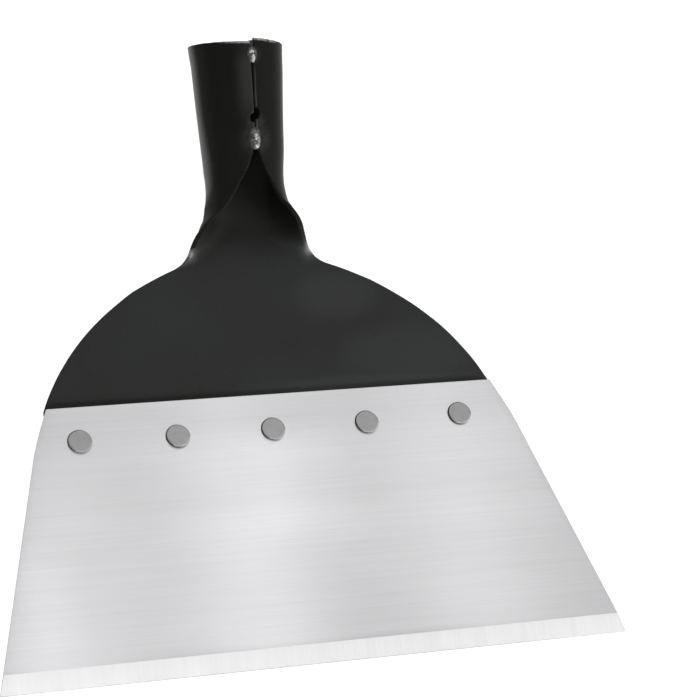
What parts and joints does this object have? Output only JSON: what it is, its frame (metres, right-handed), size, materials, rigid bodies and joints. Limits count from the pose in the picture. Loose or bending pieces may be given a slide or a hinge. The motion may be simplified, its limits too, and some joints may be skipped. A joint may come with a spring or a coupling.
{
  "type": "garden shovel head",
  "caption": "Flat shovel and scraper head: a tapered steel blade riveted to a black plate whose neck is rolled into an open-seam handle socket.",
  "frame": {"origin": "middle of the bounding box in x and y, on the plane that the rivet tails touch at the back (z = 0)", "axes": "+Y from the cutting edge towards the handle socket, +X to the right seen from the front, +Z out of the blade's front face; the head lies on its back"},
  "size_m": [0.2304, 0.2402, 0.0559],
  "materials": {
    "blade_steel": "cross-brushed bright steel sheet with a coarser ground cutting edge",
    "black_paint": "glossy black paint over pressed steel sheet and weld beads",
    "rivet_steel": "plain grey steel, flat pressed heads"
  },
  "bodies": {
    "root": {"blade": "blade_steel", "socket_plate": "black_paint", "rivet_1": "rivet_steel", "rivet_2": "rivet_steel", "rivet_3": "rivet_steel", "rivet_4": "rivet_steel", "rivet_5": "rivet_steel", "seam_weld_upper": "black_paint", "seam_weld_lower": "black_paint"}
  },
  "joints": []
}
